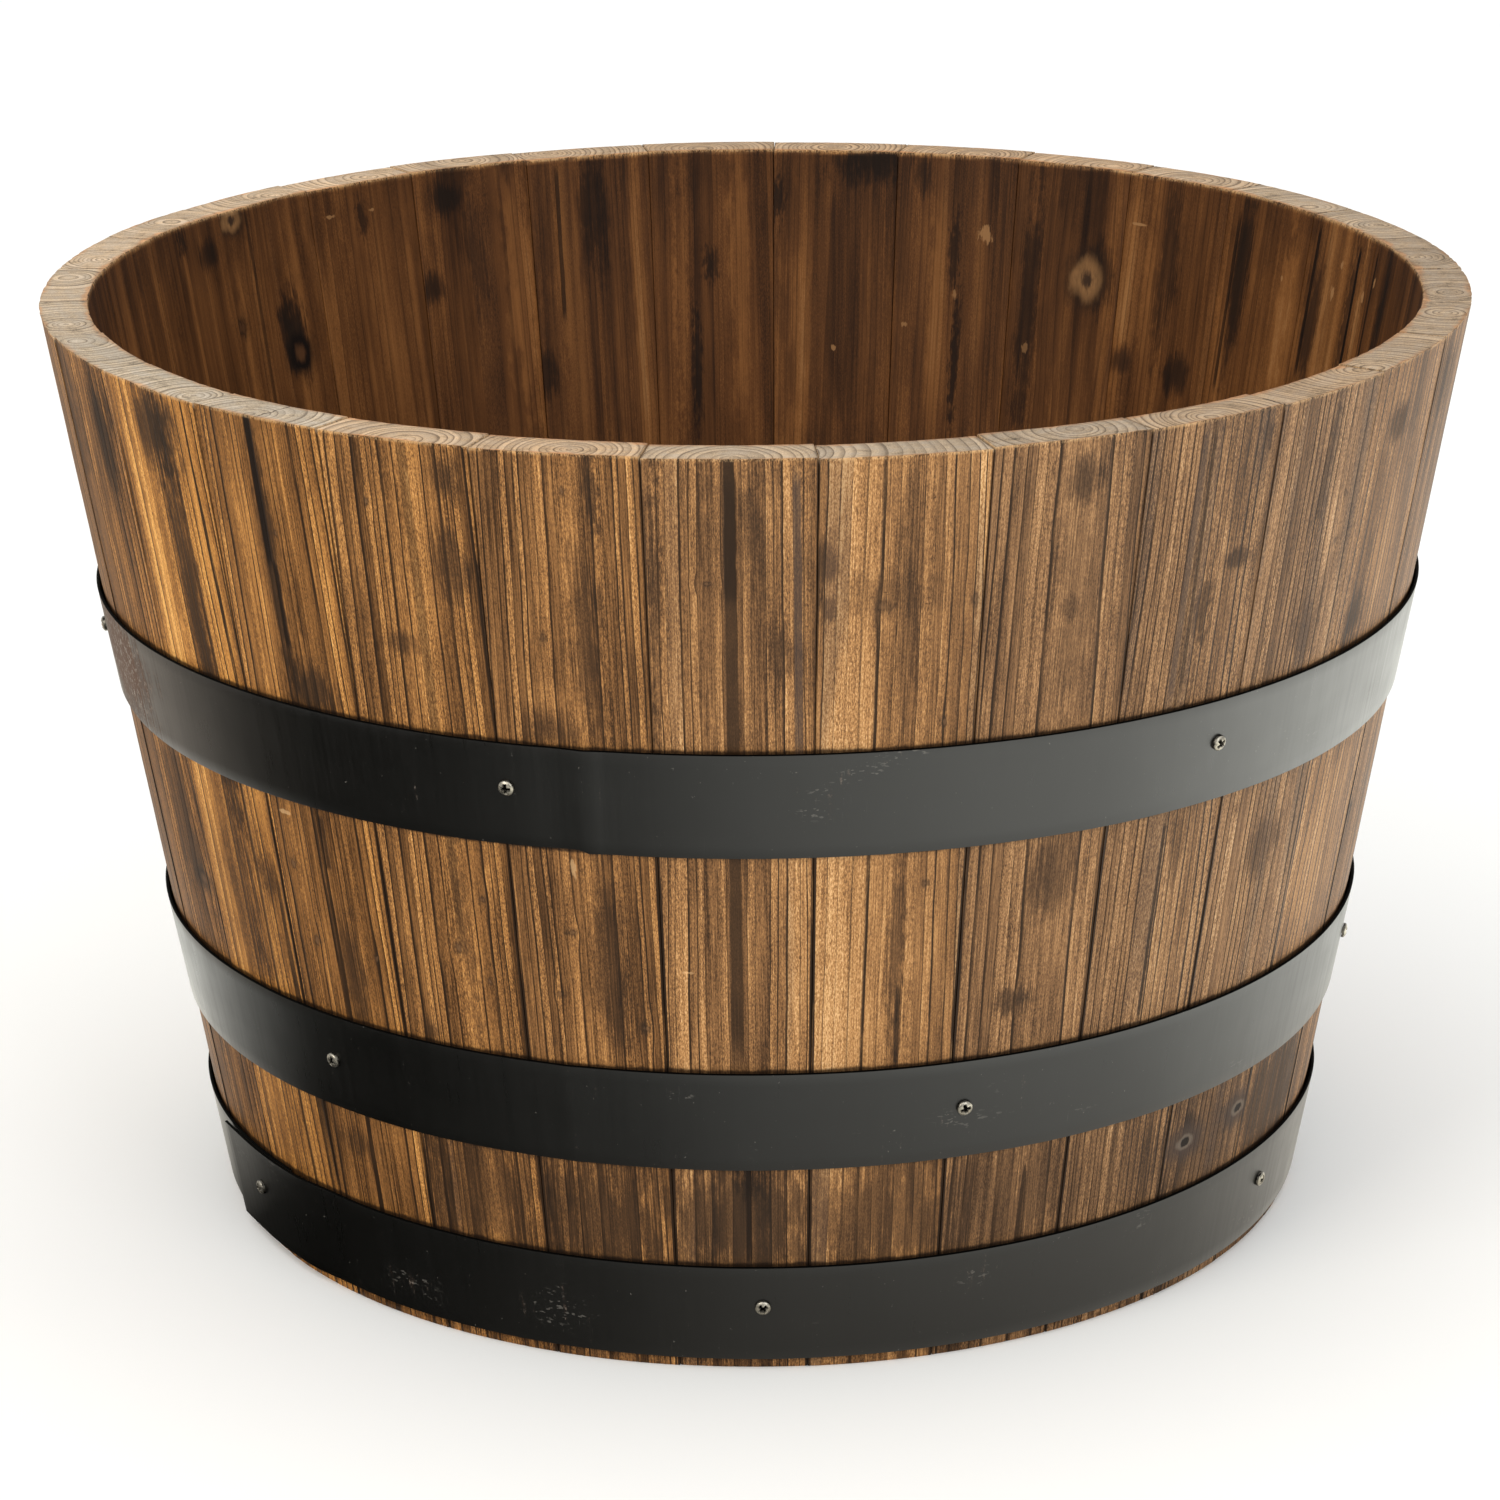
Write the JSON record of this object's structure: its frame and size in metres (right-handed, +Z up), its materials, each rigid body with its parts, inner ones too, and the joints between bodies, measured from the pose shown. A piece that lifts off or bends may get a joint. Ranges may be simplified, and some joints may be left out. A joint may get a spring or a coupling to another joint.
{
  "type": "barrel planter",
  "caption": "Tapered wooden half-barrel planter: upright staves held by lapped steel hoops, with a grooved-in plank floor that has drain holes.",
  "frame": {"origin": "on the ground, at the middle of the foot", "axes": "+Z is up, along the barrel's axis. The side seen in the picture faces -Y, with +X to its right"},
  "size_m": [0.6096, 0.6096, 0.4],
  "materials": {
    "stave_wood": "scorched and brushed fir with dark upright grain",
    "floor_wood": "sawn fir, stained brown",
    "hoop_steel": "satin black steel strip",
    "screw_steel": "dark zinc-coated pan and countersunk screws"
  },
  "bodies": {
    "root": {"stave_01": "stave_wood", "stave_02": "stave_wood", "stave_03": "stave_wood", "stave_04": "stave_wood", "stave_05": "stave_wood", "stave_06": "stave_wood", "stave_07": "stave_wood", "stave_08": "stave_wood", "stave_09": "stave_wood", "stave_10": "stave_wood", "stave_11": "stave_wood", "stave_12": "stave_wood", "stave_13": "stave_wood", "stave_14": "stave_wood", "stave_15": "stave_wood", "stave_16": "stave_wood", "stave_17": "stave_wood", "stave_18": "stave_wood", "stave_19": "stave_wood", "stave_20": "stave_wood", "stave_21": "stave_wood", "stave_22": "stave_wood", "stave_23": "stave_wood", "stave_24": "stave_wood", "stave_25": "stave_wood", "stave_26": "stave_wood", "stave_27": "stave_wood", "stave_28": "stave_wood", "stave_29": "stave_wood", "floor_plank_1": "floor_wood", "floor_plank_2": "floor_wood", "floor_plank_3": "floor_wood", "floor_plank_4": "floor_wood", "floor_plank_5": "floor_wood", "left_batten": "floor_wood", "right_batten": "floor_wood", "batten_screws": "screw_steel", "top_hoop": "hoop_steel", "middle_hoop": "hoop_steel", "foot_hoop": "hoop_steel", "top_hoop_screws": "screw_steel", "middle_hoop_screws": "screw_steel", "foot_hoop_screws": "screw_steel"}
  },
  "joints": []
}
